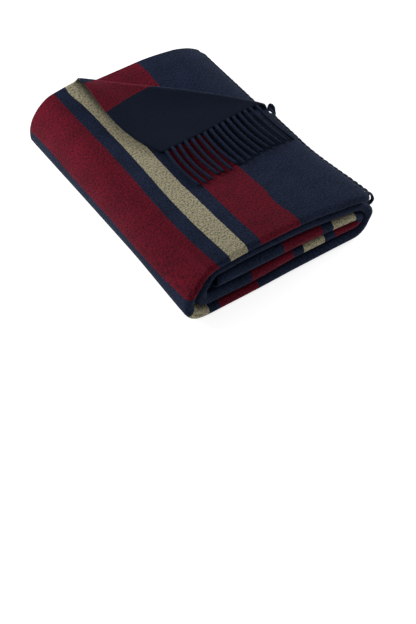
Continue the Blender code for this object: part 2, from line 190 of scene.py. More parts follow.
END_ZONE = (0.050, 0.216)    # from the middle, the front's and the back's share grows between
SPARE = 1.0               # above the stack heights simply go on


def smooth(value):
    """0 below 0, 1 above 1, and between them 3 v squared minus 2 v cubed."""
    value = np.clip(value, 0.0, 1.0)
    return value * value * (3.0 - 2.0 * value)


def rising(marks, values, places):
    """A smooth curve through values at marks, read at places.

    Each stretch is a cubic, and its slope at a mark is the harmonic mean of the slopes of
    the straight lines either side, or 0 at a turning point.  So it never overshoots.
    """
    step = np.diff(marks)
    slopes = np.diff(values, axis=-1) / step
    before, after = slopes[..., :-1], slopes[..., 1:]
    same_way = before * after > 0.0
    both = np.where(same_way, before + after, 1.0)
    middle = np.where(same_way, 2.0 * before * after / both, 0.0)
    ends = np.concatenate([slopes[..., :1], middle, slopes[..., -1:]], axis=-1)
    cell = np.clip(np.searchsorted(marks, places, side="right") - 1, 0, len(marks) - 2)
    share = (places - marks[cell]) / step[cell]
    shape = places.shape + (len(marks),)

    def pick(table, index):
        return np.take_along_axis(np.broadcast_to(table, shape), index[..., None], -1)[..., 0]

    low, high = pick(values, cell), pick(values, cell + 1)
    low_slope, high_slope = pick(ends, cell) * step[cell], pick(ends, cell + 1) * step[cell]
    rest = 1.0 - share
    return (low * rest * rest * (1.0 + 2.0 * share) + high * share * share * (3.0 - 2.0 * share)
            + low_slope * share * rest * rest - high_slope * share * share * rest)


def settle(x, y, z):
    """Places in the real stack for places in the even one: sunk, spread out and slumped."""
    near, far = END_ZONE
    front = smooth((-y - near) / (far - near))
    back = smooth((y - near) / (far - near))
    floor = LAYER / 2
    held_x = np.clip(x, FRONT_LEVELS[0, 0], FRONT_LEVELS[-1, 0])
    tops = [rising(FRONT_LEVELS[:, 0], FRONT_LEVELS[:, 1 + count], held_x)
            for count in range(PANELS)]
    levels = np.stack([np.full_like(x, CLOTH / 2), *tops, tops[-1] + SPARE], axis=-1)
    marks = np.array([floor, *(PANEL * np.arange(1, PANELS + 1)), EVEN_TOP + SPARE])
    z_front = rising(marks, levels, z)
    ends = []
    for column in (1, 2):
        top = rising(STACK_HEIGHTS[:, 0], STACK_HEIGHTS[:, column], held_x)
        share = (np.minimum(z, EVEN_TOP) - floor) / (EVEN_TOP - floor)
        ends.append(CLOTH / 2 + (top - CLOTH / 2) * share + np.maximum(z - EVEN_TOP, 0.0))
    held_z = np.clip(z, 0.0, SET_BACKS[-1, 0] * PANEL)
    set_back = rising(SET_BACKS[:, 0] * PANEL, SET_BACKS[:, 1], held_z)
    wider = front * SPREADS[0] + (1.0 - front - back) * SPREADS[1] + back * SPREADS[2]
    wider = wider * smooth((x - SPREAD_X[0]) / (SPREAD_X[1] - SPREAD_X[0]))
    bulge, inner, outer = FRONT_BULGE
    halfway_up = np.sin(math.pi * np.clip(z / EVEN_TOP, 0.0, 1.0)) ** 2
    wider = wider + bulge * front ** 2 * halfway_up * smooth((x - inner) / (outer - inner))
    leans = [rising(SLUMP[:, 0] * PANEL, SLUMP[:, column], np.clip(z, 0.0, EVEN_TOP))
             for column in (1, 2)]
    lean = front * leans[0] + (1.0 - front) * leans[1]
    lean = lean * smooth((SLUMP_X[0] - x) / (SLUMP_X[0] - SLUMP_X[1]))
    height = front * z_front + back * ends[1] + (1.0 - front - back) * ends[0]
    return np.stack([x + wider + lean, y + front * set_back, height], axis=-1)


print("highest at the front", FRONT_LEVELS[:, -1].max())
print("highest at the back", STACK_HEIGHTS[:, 2].max())

# %% [markdown]
# One corner of the top layer is turned over.  The crease is a line across the flat cloth.
# What lies past it is rolled over a small half circle and comes down again onto the layer
# underneath.  The roll is fattest at the fringe, where the stack falls away under it.
# %% The turned-over corner
SELVEDGE_LEG = 0.2355     # from the corner along the selvedge to the crease
FRINGE_LEG = 0.2070       # from the corner along the fringe to the crease
CREASE_ROLL = np.array([
    # share of the crease from the fringe to the selvedge, radius of the roll there
    (0.00, 0.0072),
    (0.35, 0.0062),
    (0.75, 0.0052),
    (1.00, 0.0052),
])
FLAP_LIFT = 0.0046        # the flap's middle above the middle of the layer under it
FLAP_SETTLES = 0.030      # the height of its roll dies away in about this distance
FLAP_DRIFT = (-0.0095, 0.0127)   # its corner lies this far in X and Y from the mirror image
FLAP_DRIFT_POWER = 1.5    # above 1 the drift grows towards the corner
FLAP_BOW = 0.0190         # its free selvedge bows out this far
FLAP_BOW_POWER = 0.8      # below 1 the bow is fullest nearer to the fringe
FLAP_BOW_REACH = 0.070    # and the bow dies away in about this distance from that selvedge
OPENING = 0.0100          # near the crease the free selvedge rises this much more
OPENING_AT = 0.030        # and most of all this far from the crease
OPENING_REACH = 0.040     # it dies away in about this distance from that selvedge
CREASE_LENGTH = math.hypot(SELVEDGE_LEG, FRINGE_LEG)
CREASE_SIDE = (FRINGE_LEG / CREASE_LENGTH, SELVEDGE_LEG / CREASE_LENGTH)
CORNER_REACH = SELVEDGE_LEG * FRINGE_LEG / CREASE_LENGTH
TOP_LAYER_END = WIDTH[1, 0]
SQUARE_LOW = 2.6          # the spine is squarer at the floor than a circle, which is 2
SPINE_SIDE = -1e-6        # a cosine below this is on the spine's side
TINY = 1e-9               # for rounding in a comparison


def over_crease(along, across):
    """How far a point of the corner is moved along the cloth and across it, and lifted.

    Past the crease by p, on a roll of radius r: while p is under pi r the shift is
    r sin(p/r) - p and the lift r (1 - cos(p/r)), and after it the shift is pi r - 2 p and
    the lift dies away to the flap's own.  The flap is soft, so it drifts off its mirror
    image and its free selvedge bows out and rises near the crease.
    """
    past = CORNER_REACH - along * CREASE_SIDE[0] - across * CREASE_SIDE[1]
    share = (along * SELVEDGE_LEG - (across - FRINGE_LEG) * FRINGE_LEG) / CREASE_LENGTH ** 2
    radius = rising(CREASE_ROLL[:, 0], CREASE_ROLL[:, 1], np.clip(share, 0.0, 1.0))
    turn = math.pi * radius
    rolled = np.clip(past, 0.0, turn) / radius
    beyond = np.maximum(past - turn, 0.0)
    settling = FLAP_LIFT + (2.0 * radius - FLAP_LIFT) * np.exp(-beyond / FLAP_SETTLES)
    rise = beyond / OPENING_AT
    settling = settling + OPENING * rise * np.exp(1.0 - rise - (across / OPENING_REACH) ** 2)
    lift = np.where(past < turn, radius * (1.0 - np.cos(rolled)), settling)
    shift = np.where(past < turn, radius * np.sin(rolled) - past, turn - 2.0 * past)
    drift = (beyond / (CORNER_REACH - turn)) ** FLAP_DRIFT_POWER
    up_edge = np.clip(along / SELVEDGE_LEG, 0.0, 1.0) ** FLAP_BOW_POWER
    bow = FLAP_BOW * np.sin(math.pi * up_edge) * np.exp(-(across / FLAP_BOW_REACH) ** 2)
    bow = bow * np.clip(past / turn, 0.0, 1.0)
    turned = (past > 0.0) & (across <= TOP_LAYER_END + TINY)
    onward = bow - shift * CREASE_SIDE[0] - FLAP_DRIFT[0] * drift
    sideways = shift * CREASE_SIDE[1] + FLAP_DRIFT[1] * drift
    return [np.where(turned, move, 0.0) for move in (onward, sideways, lift)]


def root_of(across):
    """Place across the stack, and off the middle of its panel, of a distance across the cloth."""
    y, height, radius, angle = along_table(WIDTH, across)
    return y + radius * np.cos(angle), height + radius * np.sin(angle)


def squared(angle):
    """How far the spine's lower half is pushed out, from a circle towards a square.

    It is (|cos| to the n plus |sin| to the n) to the power of -1/n.
    """
    low_left = (np.cos(angle) < SPINE_SIDE) & (np.sin(angle) < 0.0)
    power = np.abs(np.cos(angle)) ** SQUARE_LOW + np.abs(np.sin(angle)) ** SQUARE_LOW
    return np.where(low_left, power ** (-1.0 / SQUARE_LOW), 1.0)


def even_stack(along, y, offset):
    """A point of the even roll: centre plus (radius plus offset) times (cos, sin)."""
    x, z, radius, angle = along_table(ROLL, along)
    reach = (radius + offset) * squared(angle)
    return x + reach * np.cos(angle), y + 0.0 * x, z + reach * np.sin(angle)


print("crease", round(CREASE_LENGTH, 4), "m long")

# %% [markdown]
# The creases that catch the light on a real throw are few and soft, and they could come
# from a simulation or a brush.  Here each is a line placed on the top of the stack, with a
# height, or a depth below zero, and a width.  They fade away towards the floor.
# %% Creases placed one by one
CREASES = (
    # from x, y, to x, y, height, half width
    (0.060, -0.205, 0.150, -0.120, 0.0012, 0.014),
    (0.085, -0.120, 0.160, -0.060, -0.0012, 0.012),
    (0.100, -0.215, 0.165, -0.175, -0.0014, 0.010),
    (-0.010, -0.150, 0.060, -0.212, -0.0010, 0.016),
    (-0.110, -0.214, -0.085, -0.120, 0.0010, 0.016),
    (-0.160, -0.050, -0.150, 0.120, -0.0012, 0.018),
    (0.020, 0.060, 0.110, 0.020, 0.0009, 0.018),
)
WAVE = 0.0008             # height of the slow unevenness all over the top
WAVE_SINE = (31.0, 17.0)      # radians for each metre of x and of y
WAVE_COSINE = (-11.0, 23.0)
WAVE_START = 0.6


def creased(points, depth):
    """Points moved up by each crease's height times exp(-(distance over width) squared).

    depth is each point's even height as a share of the stack, and its cube fades them out.
    """
    x, y = points[..., 0], points[..., 1]
    rise = WAVE * (np.sin(WAVE_SINE[0] * x + WAVE_SINE[1] * y)
                   * np.cos(WAVE_COSINE[0] * x + WAVE_COSINE[1] * y + WAVE_START))
    for from_x, from_y, to_x, to_y, height, width in CREASES:
        run = np.array([to_x - from_x, to_y - from_y])
        share = ((x - from_x) * run[0] + (y - from_y) * run[1]) / (run @ run)
        share = np.clip(share, 0.0, 1.0)
        far = np.hypot(x - from_x - share * run[0], y - from_y - share * run[1])
        rise = rise + height * np.exp(-(far / width) ** 2)
    lifted = points.copy()
    lifted[..., 2] += rise * np.clip(depth, 0.0, 1.0) ** 3
    return lifted


def place(x, y, z):
    """From the even stack to the real one, with its creases."""
    return creased(settle(x, y, z), (z - LAYER) / EVEN_TOP)


print(len(CREASES), "creases")

# %% [markdown]
# The throw is one flat piece of cloth, so it is one grid: one direction along the cloth and
# one across it.  Its cells are small where the cloth shows and where it turns, and large
# inside the stack.  In the corner the cells have the crease's own slope and are cut along
# it, so the crease runs along edges and not across them.  The flat place of every point
# is kept as a UV map, in metres, which later carries the stripes round every fold.
# %% The flat cloth's grid
CORNER_CELLS = 64
ROLL_CELLS = (16, 26, 26, 18, 26, 12, 26, 8, 26)     # for each run and turn of the roll
WIDTH_CELLS = (66, 8, 24, 6, 14)                     # and of the folds across


def cells(stretches):
    """Places from 0 on: each stretch is where it ends, and how many even cells it has."""
    places = [np.zeros(1)]
    for end, count in stretches:
        start = places[-1][-1]
        places.append(start + (end - start) * np.arange(1, count + 1) / count)
    return np.concatenate(places)


ALONG = cells([(SELVEDGE_LEG, CORNER_CELLS), *zip(ROLL[2:, 0], ROLL_CELLS)])
ACROSS = cells([(FRINGE_LEG, CORNER_CELLS), *zip(WIDTH[1:, 0], WIDTH_CELLS)])
FLAT = np.stack(np.meshgrid(ALONG, ACROSS, indexing="ij"), axis=-1)
print("grid", FLAT.shape[:2])

# %% Folding the grid


def folded(along, across):
    """The real place of points of the flat cloth: across first, then the corner, then the roll."""
    y, offset = root_of(across)
    onward, sideways, lift = over_crease(along, across)
    return place(*even_stack(along + onward, y + sideways, offset + lift))


SHEET = folded(FLAT[..., 0], FLAT[..., 1])
MOVE = np.array([-0.0059, -0.0043, 0.0])   # the model was moved this much to centre its box
print("sheet", SHEET.shape)

# %% [markdown]
# Soft cloth also stretches a little in its own plane, so a stripe that was woven straight
# wanders by a few millimetres.  A finer simulation might find such pulls, but here each one
# is given and only moves the weave, through the UV map, while the cloth stays.
# %% How the weave wanders
PULLS = (
    # along, across, half length, half width, how much further on the weave is there
    (0.130, 0.055, 0.016, 0.034, -0.0100),
    (0.126, 0.386, 0.012, 0.022, -0.0055),
    (0.118, 0.915, 0.012, 0.040, 0.0030),
    (0.190, 0.365, 0.012, 0.110, 0.0040),
    (0.190, 0.300, 0.012, 0.025, 0.0026),
    (0.190, 0.435, 0.012, 0.022, 0.0020),
    (0.249, 0.345, 0.012, 0.085, -0.0040),
    (0.250, 0.020, 0.012, 0.028, -0.0050),
    (0.275, 0.385, 0.014, 0.100, -0.0068),
    (0.341, 0.375, 0.014, 0.090, -0.0056),
    (0.333, 0.050, 0.014, 0.045, 0.0038),
    (1.441, 0.443, 0.020, 0.030, 0.0060),
)


def pulled(flat):
    """Flat places with each pull's shift times exp(-(its two distances over halves) squared)."""
    along, across = flat[..., 0], flat[..., 1]
    woven = flat.copy()
    for at, aside, half_length, half_width, shift in PULLS:
        far = ((along - at) / half_length) ** 2 + ((across - aside) / half_width) ** 2
        woven[..., 0] += shift * np.exp(-far)
    return woven


WEAVE = pulled(FLAT)
print(len(PULLS), "pulls, at most", round(np.abs(WEAVE - FLAT).max() * 1000, 1), "mm")

# %% Making a mesh from a grid


def new_piece(name, points, faces, flat=None):
    """A smooth-shaded mesh object from an array of points and a list of faces.

    flat gives two numbers for each point, which become its UV map.
    """
    mesh = bpy.data.meshes.new(name)
    mesh.from_pydata(points.reshape(-1, 3).tolist(), [], faces)
    mesh.shade_smooth()
    if flat is not None:
        corner = np.empty(len(mesh.loops), int)
        mesh.loops.foreach_get("vertex_index", corner)
        layer = mesh.uv_layers.new(name="flat")
        layer.data.foreach_set("uv", flat.reshape(-1, 2)[corner].astype(np.float32).ravel())
    piece = bpy.data.objects.new(name, mesh)
    bpy.context.scene.collection.objects.link(piece)
    return piece


def sheet_faces(rows, columns):
    """Four-sided faces between neighbours, and triangles along the crease in the corner."""
    index = np.arange(rows * columns).reshape(rows, columns)
    around = np.stack([index[:-1, :-1], index[1:, :-1], index[1:, 1:], index[:-1, 1:]], axis=-1)
    corner = np.zeros((rows - 1, columns - 1), bool)
    corner[:CORNER_CELLS, :CORNER_CELLS] = True
    cut = around[corner]
    faces = around[~corner].tolist()
    return faces + cut[:, [0, 1, 3]].tolist() + cut[:, [1, 2, 3]].tolist()


cloth = new_piece("throw_cloth", SHEET + MOVE, sheet_faces(*FLAT.shape[:2]), WEAVE)
wall = cloth.modifiers.new("thickness", "SOLIDIFY")
wall.thickness = CLOTH
wall.offset = 0.0
print(cloth.name, len(cloth.data.vertices), "points")

# %% [markdown]
# The fringe is the cloth's own warp, drawn into bunches and twisted into two-ply strands.
# Curves with a bevel would give plain round cords.  A grid wrapped round each path does
# more for the same work: its section can be flat where it leaves the cloth, be round
# further on, show the two plies as they wind round each other, and taper at the tip.
# %% A strand's skin
SIDES = 10
PLY_DEPTH = 0.09          # how deep the groove between the two plies is, as a share
TWIST_LENGTH = 0.0180     # the strand turns once in this length
ROOT_INSIDE = 0.0015      # a strand starts this far inside the cloth's edge
ROOT_WIDTH = 0.0036       # half the width of a flat root
ROOT_HEIGHT = 0.0013
ROOT_LENGTH = 0.006       # a root becomes round in about this distance
TIP_LENGTH = 0.004
TIP_BLUNT = 0.02          # square of the share of its girth that a strand keeps at its tip


def strand_skin(centres, sideways, distance, half_width, half_height, phase):
    """Rings of points round each path, as an array of strand, row, side and coordinate.

    A ring's point at angle t is the centre, plus the sideways direction times the half
    width times cos t, plus the upward one times the half height times sin t.  Both are
    times 1 + depth cos(2 (t - twist)), which is the pair of plies, and the twist grows
    with the distance along the strand.
    """
    ahead = np.gradient(centres, axis=1)
    ahead /= np.linalg.norm(ahead, axis=-1, keepdims=True)
    up = np.cross(ahead, sideways)
    up /= np.linalg.norm(up, axis=-1, keepdims=True)
    side = np.cross(up, ahead)
    root = np.exp(-(np.maximum(distance, 0.0) / ROOT_LENGTH) ** 2)
    left = (distance[..., -1:] - distance) / TIP_LENGTH
    tip = np.sqrt(np.clip(1.0 - (1.0 - np.clip(left, 0.0, 1.0)) ** 2, TIP_BLUNT, 1.0))
    width = (ROOT_WIDTH * root + half_width * (1.0 - root)) * tip
    height = (ROOT_HEIGHT * root + half_height * (1.0 - root)) * tip
    angle = np.arange(SIDES) * 2.0 * math.pi / SIDES
    twist = 2.0 * math.pi * distance / TWIST_LENGTH + phase
    ply = PLY_DEPTH * (1.0 - root)[..., None]
    bulge = 1.0 + ply * np.cos(2.0 * (angle - twist[..., None]))
    return (centres[:, :, None]
            + side[:, :, None] * (width[..., None] * bulge * np.cos(angle))[..., None]
            + up[:, :, None] * (height[..., None] * bulge * np.sin(angle))[..., None])


def strand_faces(strands, rows):
    """Four-sided faces round every strand, and a many-sided one at each end."""
    index = np.arange(strands * rows * SIDES).reshape(strands, rows, SIDES)
    beside = np.roll(index, -1, axis=2)
    around = np.stack([index[:, :-1], beside[:, :-1], beside[:, 1:], index[:, 1:]], axis=-1)
    ends = np.concatenate([index[:, 0, ::-1], index[:, -1]])
    return around.reshape(-1, 4).tolist() + ends.tolist()


print("a strand turns once in", TWIST_LENGTH * 1000, "mm")

# %% [markdown]
# A strand's path is worked out from where its root is across the cloth.  On the turned-over
# corner the strands lie on the layer below, combed a little towards each other.  The others
# bend over the side of the roll and hang down.  Their path is one more table of stations
# that goes on from the roll's own, so it bends with the roll.
# %% Paths of the outer strands
STRAND_PITCH = 0.0109
STRAND_LENGTH = 0.086
LYING_HALF = (0.0025, 0.0024)    # half the width and half the thickness of a lying strand
LYING_ABOVE = 0.0040      # its tip's middle above the middle of the layer that it lies on
LYING_SINKS = 0.7         # share of a lying strand in which it comes down to that
LYING_FAN = (-0.002, 0.009)      # sideways drift of the first and the last lying strand
LYING_BOW = (0.0045, 0.0005)     # and how far they bow out the other way
HANG_X = 0.1665           # the middle layer of hanging strands, before the stack settles
HANG_APART = 0.0042       # between the three layers of hanging strands
HANG_HALF = (0.0030, 0.0019)     # half the width and half the thickness of a hanging strand
SHOULDER = (28.0, 2.4 * PANEL)   # angle and radius of the bend over the side
HANG_TABLE = path_table([
    (TURN_X, 2.0 * PANEL, 2.5 * PANEL, 90.0),
    (TURN_X, 2.0 * PANEL, 2.5 * PANEL, HEM_ANGLE),
    (TURN_X, 2.0 * PANEL, SHOULDER[1], SHOULDER[0]),
    (TURN_X, 2.0 * PANEL, HANG_X - TURN_X, 0.0),
])
HANG_TABLE[:, 0] -= HANG_TABLE[1, 0]
SHOULDER_END = HANG_TABLE[-1, 0]
HANG_LOW = 0.0075         # the strands end about this far above the floor
HANG_LEAN = (0.030, -0.110, -0.216)    # towards the front they lean back this far, from y to y
HANG_LEAN_POWER = 1.5     # above 1 they lean most near the tip
CREASE_LIFT_FADES = 3     # a higher power brings the strands down sooner from the crease
rng = np.random.default_rng(7)


def lying_path(across, distance, drift, bow, height):
    """From the flap's edge, away from it along the layer below, with a sideways drift and bow."""
    onward, sideways, lift = over_crease(np.zeros_like(across), across)
    share = np.maximum(distance, 0.0) / STRAND_LENGTH
    y, offset = root_of(across)
    along = onward - drift * share ** 2 + bow * np.sin(math.pi * np.minimum(share, 1.0))
    level = LYING_ABOVE + height + (lift - LYING_ABOVE) * np.exp(-share / LYING_SINKS)
    return place(*even_stack(along, y + sideways - distance, offset + level))


def hanging_path(across, distance, drift):
    """Over the side on the table above, then down, with the layers drawn together.

    A crease's lift is lost on the way, and towards the front the strands lean back.
    """
    y, offset = root_of(across)
    _, aside, lift = over_crease(np.zeros_like(across), across)
    x, z, radius, angle = along_table(HANG_TABLE, distance)
    drawn = smooth(distance / SHOULDER_END)
    reach = (radius + offset * (1.0 - drawn) + lift * (1.0 - drawn) ** CREASE_LIFT_FADES
             + offset * drawn * HANG_APART / LAYER)
    down = np.maximum(distance - SHOULDER_END, 0.0)
    lean, start, end = HANG_LEAN
    lean = lean * np.clip((y - start) / (end - start), 0.0, 1.0)
    share = np.maximum(distance, 0.0) / STRAND_LENGTH
    sideways = (drift + lean) * share ** HANG_LEAN_POWER
    return place(x + reach * np.cos(angle), y + aside + sideways,
                 z - down + reach * np.sin(angle))


# %% Making the strands
ROWS = 46                 # rings along a strand
STEP_ASIDE = 0.0004
LYING_LENGTHS = (0.97, 1.05)     # shares of the strand's length
LYING_STRAY = (0.0020, 0.0012)   # how far chance moves a lying strand's drift and its bow
LYING_RISE = 0.0005       # and how far it may lift it
HANG_SHORTER = 0.004      # how much shorter chance may make a hanging strand
HANG_STRAY = 0.0015       # and how far it may move its tip to either side


def make_strands(name, path, across, length, half, **extra):
    """Strands along path(across, distance, ...), as one mesh, with the distance as a UV map.

    The sideways direction at a point is the path a little to one side, minus the path a
    little to the other.  The distance starts just inside the cloth's edge, and with it goes
    the share of the way across the strand, from 0 at one side to 1 at the other.
    """
    across = across[:, None]
    extra = {key: value[:, None] for key, value in extra.items()}
    share = np.linspace(0.0, 1.0, ROWS)
    distance = -ROOT_INSIDE + (length[:, None] + ROOT_INSIDE) * share
    centres = path(across, distance, **extra)
    one_side = path(across + STEP_ASIDE, distance, **extra)
    sideways = one_side - path(across - STEP_ASIDE, distance, **extra)
    sideways /= np.linalg.norm(sideways, axis=-1, keepdims=True)
    phase = rng.uniform(0.0, math.pi, (len(across), 1))
    points = strand_skin(centres, sideways, distance, *half, phase)
    count = len(across)
    aside = (1.0 + np.cos(np.arange(SIDES) * 2.0 * math.pi / SIDES)) / 2
    aside = np.broadcast_to(aside, (count, ROWS, SIDES))
    run = np.broadcast_to((distance + np.arange(count)[:, None])[..., None], aside.shape)
    return new_piece(name, points + MOVE, strand_faces(count, ROWS), np.stack([run, aside], -1))


def roots(low, high):
    """Places of whole strands, evenly apart, between two places across the cloth."""
    count = round((high - low) / STRAND_PITCH)
    return low + (np.arange(count) + 0.5) * (high - low) / count


def roots_from(start):
    """Roots from a start in the top layer, on the straight runs of all three layers."""
    runs = ((start, WIDTH[1, 0]), (WIDTH[2, 0], WIDTH[3, 0]), (WIDTH[4, 0], BREADTH))
    return np.concatenate([roots(low, high) for low, high in runs])


CREASE_START = FRINGE_LEG - math.pi * CREASE_ROLL[0, 1] / CREASE_SIDE[1]
lying_roots = roots(0.0, CREASE_START)
ends = [0, len(lying_roots) - 1]
order = np.arange(len(lying_roots))


def strayed(pair, stray):
    """Values from the first strand's to the last one's, each moved a little by chance."""
    return np.interp(order, ends, pair) + rng.uniform(-stray, stray, len(order))


lying = make_strands(
    "fringe_on_flap", lying_path, lying_roots,
    STRAND_LENGTH * rng.uniform(*LYING_LENGTHS, len(order)), LYING_HALF,
    drift=strayed(LYING_FAN, LYING_STRAY[0]),
    bow=strayed(LYING_BOW, LYING_STRAY[1]),
    height=rng.uniform(0.0, LYING_RISE, len(order)))
hanging_roots = roots_from(CREASE_START)
hang_length = SHOULDER_END + 2.0 * PANEL - HANG_LOW
hanging = make_strands(
    "fringe_down_side", hanging_path, hanging_roots,
    hang_length - rng.uniform(0.0, HANG_SHORTER, len(hanging_roots)), HANG_HALF,
    drift=rng.uniform(-HANG_STRAY, HANG_STRAY, len(hanging_roots)))
print(len(lying_roots), "lying and", len(hanging_roots), "hanging strands")

# %% [markdown]
# The inner end is rolled up in the middle of the stack.  There is no room for its fringe in
# front of it, so the strands turn back on themselves and lie pressed between two layers.
# %% The inner fringe
PRESSED_HALF = (0.0029, 0.0009)  # half the width and half the thickness of a pressed strand
PRESSED_LENGTHS = (0.9, 1.0)     # shares of the strand's length
PRESSED_STRAY = 0.001
HAIRPIN_AT = 0.0035       # the hairpin starts this far from the inner end
HAIRPIN_RADIUS = LAYER / 4


def pressed_path(across, distance, drift):
    """Straight on, half round a small circle, and straight back again."""
    y, offset = root_of(across)
    way = np.where(offset > LAYER / 2, 1.0, -1.0)
    around = np.clip((distance - HAIRPIN_AT) / HAIRPIN_RADIUS, 0.0, math.pi)
    back = np.maximum(distance - HAIRPIN_AT - math.pi * HAIRPIN_RADIUS, 0.0)
    x = (INNER_END_X - np.minimum(distance, HAIRPIN_AT) - HAIRPIN_RADIUS * np.sin(around) + back)
    level = 2.5 * PANEL + offset + way * HAIRPIN_RADIUS * (1.0 - np.cos(around))
    return place(x, y + drift * back / STRAND_LENGTH, level)


inner_roots = roots_from(0.0)
pressed = make_strands(
    "fringe_inside", pressed_path, inner_roots,
    STRAND_LENGTH * rng.uniform(*PRESSED_LENGTHS, len(inner_roots)), PRESSED_HALF,
    drift=rng.uniform(-PRESSED_STRAY, PRESSED_STRAY, len(inner_roots)))
print(len(inner_roots), "strands inside")

# %% [markdown]
# Shader maths reads best as ordinary sums.  A small class wraps one socket and turns +, -
# and * into Math nodes.  A second class holds one material and adds every other kind of
# node through a single method, with its settings first and its sockets' values after.
# %% Shader helpers


class Value:
    """One output socket, whose sums and products become Math nodes."""

    def __init__(self, finish, socket):
        self.finish = finish
        self.socket = socket

    def maths(self, operation, first, second=0.0):
        node = self.finish.add("ShaderNodeMath", {"operation": operation}, {0: first, 1: second})
        return self.finish.out(node)

    def __add__(self, other):
        return self.maths("ADD", self, other)

    def __sub__(self, other):
        return self.maths("SUBTRACT", self, other)

    def __rsub__(self, other):
        return self.maths("SUBTRACT", other, self)

    def __mul__(self, other):
        return self.maths("MULTIPLY", self, other)


class Finish:
    """A material, its Principled BSDF, and one way to add any node."""

    def __init__(self, name, **constants):
        self.material = bpy.data.materials.new(name)
        self.material.use_nodes = True
        self.tree = self.material.node_tree
        self.shader = self.tree.nodes["Principled BSDF"]
        self.fill(self.shader, {key.replace("_", " "): value for key, value in constants.items()})

    def fill(self, node, sockets):
        for key, value in sockets.items():
            if isinstance(value, Value):
                self.tree.links.new(value.socket, node.inputs[key])
            else:
                node.inputs[key].default_value = value

    def add(self, kind, settings=None, sockets=None):
        """A node of that kind; a setting named stops gives a ramp's places and colours."""
        node = self.tree.nodes.new(kind)
        for key, value in (settings or {}).items():
            if key == "stops":
                self.set_stops(node.color_ramp, value)
            else:
                setattr(node, key, value)
        self.fill(node, sockets or {})
        return node

    def set_stops(self, ramp, stops):
        ramp.interpolation = "CONSTANT"
        while len(ramp.elements) < len(stops):
            ramp.elements.new(1.0)
        for element, (place_on_ramp, colour) in zip(ramp.elements, stops):
            element.position = place_on_ramp
            element.color = colour

    def out(self, node, name=0):
        return Value(self, node.outputs[name])

    def ramp(self, value, low, high):
        """0 below low, 1 above high, and a smooth S between."""
        node = self.add("ShaderNodeMapRange", {"interpolation_type": "SMOOTHSTEP"},
                        {"Value": value, "From Min": low, "From Max": high})
        return self.out(node, "Result")

    def noise(self, vector, scale, detail):
        node = self.add("ShaderNodeTexNoise", None,
                        {"Vector": vector, "Scale": scale, "Detail": detail})
        return self.out(node, "Factor" if "Factor" in node.outputs else "Fac")

    def stretched(self, vector, scale):
        """The vector with its parts multiplied one by one."""
        node = self.add("ShaderNodeVectorMath", {"operation": "MULTIPLY"}, {0: vector, 1: scale})
        return self.out(node, "Vector")

    def mix(self, share, first, second):
        """Colours mixed by a share from 0 to 1."""
        node = self.add("ShaderNodeMix", {"data_type": "RGBA"}, {0: share, 6: first, 7: second})
        return self.out(node, 2)

    def bump(self, height, distance):
        """The normal of a rough surface, from a height between 0 and 1 and its depth."""
        node = self.add("ShaderNodeBump", None,
                        {"Height": height, "Distance": distance, "Strength": BUMP_STRENGTH})
        self.fill(self.shader, {"Normal": self.out(node, "Normal")})


BUMP_STRENGTH = 0.6
print("shader helpers ready")

# %% [markdown]
# The wool is woven in navy warp, with wefts of navy, burgundy and beige that make bands of
# colour, and then felted until the weave has gone.  Felting mixes the fibres: the beige is
# full of navy specks, and the burgundy has dark ones.  A picture of the stripes could be
# wrapped round the cloth, but a ramp along the flat cloth's own length needs no file.  Its
# red holds where the cloth is burgundy and its green where it is beige.
# %% Stripes
NAVY, RED, BEIGE = (0.0, 0.0, 0.0, 1.0), (1.0, 0.0, 0.0, 1.0), (0.0, 1.0, 0.0, 1.0)
STRIPES = (
    # where the stripe ends, along the cloth, and what it is
    (0.1220, NAVY),
    (0.1895, RED),
    (0.2110, NAVY),
    (0.2440, BEIGE),
    (0.2655, NAVY),
    (0.3330, RED),
    (0.3545, NAVY),
    (0.3875, BEIGE),
    (0.4090, NAVY),
    (0.4765, RED),
    (1.1080, NAVY),
    (1.1820, RED),
    (1.2035, NAVY),
    (1.2365, BEIGE),
    (1.2575, NAVY),
    (1.2960, RED),
    (1.3175, NAVY),
    (1.3510, BEIGE),
    (1.3710, NAVY),
    (1.4430, RED),
    (LENGTH, NAVY),
)


def stripe_stops():
    """A ramp's stops: each stripe starts where the one before it ends."""
    ends = [0.0] + [end for end, _ in STRIPES[:-1]]
    return [(end / LENGTH, kind) for end, (_, kind) in zip(ends, STRIPES)]


print(len(STRIPES), "stripes")

# %% [markdown]
# Some tones are set by place.  Past the crease, on the turned-over flap, the cloth is darker,
# and a highlight is painted along the crease's ridge.  Painted shade darkens the cloth under
# the strands, and a painted shadow the cloth beside the opened flap, where little light
# reaches.  Masks on the flat cloth's own coordinates put each of these tones in its place.
# %% The felted cloth
NAVY_WOOL = ((0.0018, 0.0042, 0.0120, 1.0), (0.0100, 0.0165, 0.0400, 1.0))
RED_WOOL = ((0.0330, 0.0014, 0.0052, 1.0), (0.1170, 0.0032, 0.0130, 1.0))
BEIGE_WOOL = ((0.0770, 0.0770, 0.0610, 1.0), (0.3050, 0.2730, 0.1760, 1.0))
WAVER = ((9.0, 2.0, 0.0050), (320.0, 1.0, 0.0016))   # noise scale, detail, move of an edge
FIBRES = (950.0, 3.0)            # noise scale and detail
FIBRE_STRETCH = (1.0, 0.6, 1.0)
TUFTS = (330.0, 2.0)
CLOUDS = (28.0, 3.0)
CLOUD_SHARE = 0.14
GRAIN_SHARES = (0.55, 0.45)      # of the fibres and of the tufts
WOOL_RAMP = (0.42, 0.58)
BEIGE_RAMP = (0.42, 0.53)        # steeper, because the beige has fewer dark specks
NAP_DEPTH = 0.0012
FIBRE_BUMP = 0.5                 # the fibres' extra share of the bump
REVERSE = (0.010, 0.022)         # past the crease, from one side of the cloth to the other
REVERSE_DARKER = (0.88, 0.15)    # how much darker it is there, for the navy and for the red
RIDGE_HIGHLIGHT = ((0.006, 0.010), (0.012, 0.018))   # past the crease, where a highlight is painted along the ridge
